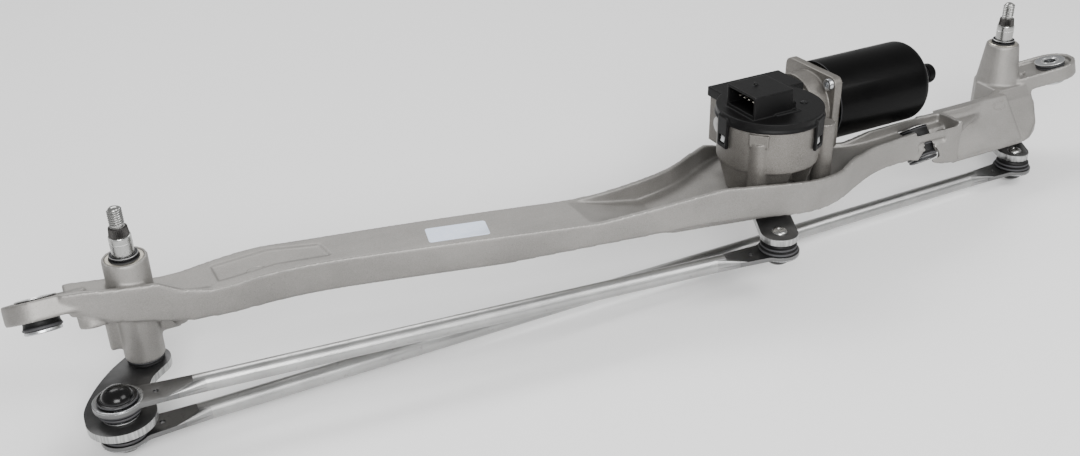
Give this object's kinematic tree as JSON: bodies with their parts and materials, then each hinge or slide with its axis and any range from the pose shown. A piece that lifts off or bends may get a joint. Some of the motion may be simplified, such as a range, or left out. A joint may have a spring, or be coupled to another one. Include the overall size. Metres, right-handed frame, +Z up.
{
  "type": "windshield wiper linkage",
  "caption": "Die-cast frame with two wiper spindles on hook and triangle levers, joined by rods to the crank of a worm gear motor.",
  "frame": {"origin": "centre of the top of the left spindle boss, on the spindle axis", "axes": "+Z up along both wiper spindles, +X from the left spindle to the right one, +Y to the rear"},
  "size_m": [0.7617, 0.126, 0.1216],
  "materials": {
    "frame_casting": "matte die-cast surface, fine grain, brighter on edges",
    "grommets": "satin black moulded rubber",
    "sleeves": "bright zinc plate",
    "spindle_bushes": "sintered bronze",
    "dust_seals": "satin black moulded rubber",
    "part_label": "thin pale label film",
    "gearbox_housing": "die-cast, slightly darker than the frame",
    "gearbox_cover": "satin black glass-filled plastic",
    "connector_pins": "tin plated",
    "contact_plate": "printed circuit laminate",
    "output_bush": "sintered bronze",
    "thrust_screw": "zinc plated, staked",
    "gearbox_screws": "bright zinc plate",
    "motor_yoke": "gloss black paint",
    "motor_magnets": "ground ferrite",
    "brush_card": "brown phenolic",
    "motor_bearings": "sintered bronze",
    "yoke_screws": "bright zinc plate",
    "spindles": "ground and plated",
    "levers": "dark plated face, bright sheared edge",
    "ball_studs": "ground and plated",
    "collar_rings": "black oxide",
    "rods": "bright drawn tube",
    "sockets": "glossy black acetal",
    "boots": "satin black moulded rubber",
    "crank_nut": "bright zinc plate",
    "output_shaft": "ground and plated",
    "worm_wheel": "natural acetal",
    "armature_shaft": "ground and plated",
    "armature_core": "stacked laminations",
    "armature_windings": "varnished copper wire",
    "commutator": "copper segments"
  },
  "bodies": {
    "frame": {"frame_casting": "frame_casting", "left_grommet": "grommets", "middle_grommet": "grommets", "right_grommet": "grommets", "left_sleeve": "sleeves", "middle_sleeve": "sleeves", "right_sleeve": "sleeves", "left_spindle_bushes": "spindle_bushes", "right_spindle_bushes": "spindle_bushes", "left_dust_seals": "dust_seals", "right_dust_seals": "dust_seals", "part_label": "part_label", "gearbox_housing": "gearbox_housing", "gearbox_cover": "gearbox_cover", "connector_pins": "connector_pins", "contact_plate": "contact_plate", "output_bush": "output_bush", "thrust_screw": "thrust_screw", "gearbox_screws": "gearbox_screws", "motor_yoke": "motor_yoke", "motor_magnets": "motor_magnets", "brush_card": "brush_card", "motor_bearings": "motor_bearings", "yoke_screws": "yoke_screws"},
    "left_pivot": {"left_spindle": "spindles", "left_lever": "levers", "left_double_stud": "ball_studs", "left_collar_ring": "collar_rings"},
    "right_pivot": {"right_spindle": "spindles", "right_lever": "levers", "right_ball_stud": "ball_studs", "right_collar_ring": "collar_rings"},
    "drive_link": {"drive_rod": "rods", "drive_rod_left_socket": "sockets", "drive_rod_crank_socket": "sockets", "drive_rod_left_boot": "boots", "drive_rod_crank_boot": "boots"},
    "long_link": {"link_rod": "rods", "link_rod_left_socket": "sockets", "link_rod_right_socket": "sockets", "link_rod_left_boot": "boots", "link_rod_right_boot": "boots"},
    "crank": {"crank_arm": "levers", "crank_nut": "crank_nut", "crank_ball_stud": "ball_studs", "output_shaft": "output_shaft", "worm_wheel": "worm_wheel"},
    "armature": {"armature_shaft": "armature_shaft", "armature_core": "armature_core", "armature_windings": "armature_windings", "commutator": "commutator"}
  },
  "joints": [
    {"name": "crank_turn", "type": "hinge", "parent": "frame", "child": "crank", "pos_m": [0.388, -0.043, -0.0465], "axis": [0, 0, 1], "range_deg": [-45, 45]},
    {"name": "left_wiper_turn", "type": "hinge", "parent": "frame", "child": "left_pivot", "pos_m": [0, 0, 0], "axis": [0, 0, 1], "range_deg": [-46, 46]},
    {"name": "right_wiper_turn", "type": "hinge", "parent": "frame", "child": "right_pivot", "pos_m": [0.636, 0, 0], "axis": [0, 0, 1], "range_deg": [-46, 46]},
    {"name": "drive_rod_swivel", "type": "hinge", "parent": "left_pivot", "child": "drive_link", "pos_m": [-0.02192, -0.04494, -0.0575], "axis": [0, 0, 1], "range_deg": [-46, 46]},
    {"name": "link_rod_swivel", "type": "hinge", "parent": "left_pivot", "child": "long_link", "pos_m": [-0.02192, -0.04494, -0.079], "axis": [0, 0, 1], "range_deg": [-46, 46]},
    {"name": "armature_turn", "type": "hinge", "parent": "frame", "child": "armature", "pos_m": [0.488, -0.0124, -0.0036], "axis": [1, 0, 0], "range_deg": [-2440, 2440]}
  ],
  "couplings": [
    {"joint": "left_wiper_turn", "follows": "crank_turn", "ratio": 1},
    {"joint": "right_wiper_turn", "follows": "crank_turn", "ratio": 1},
    {"joint": "drive_rod_swivel", "follows": "crank_turn", "ratio": -1},
    {"joint": "link_rod_swivel", "follows": "crank_turn", "ratio": -1},
    {"joint": "armature_turn", "follows": "crank_turn", "ratio": -54}
  ]
}
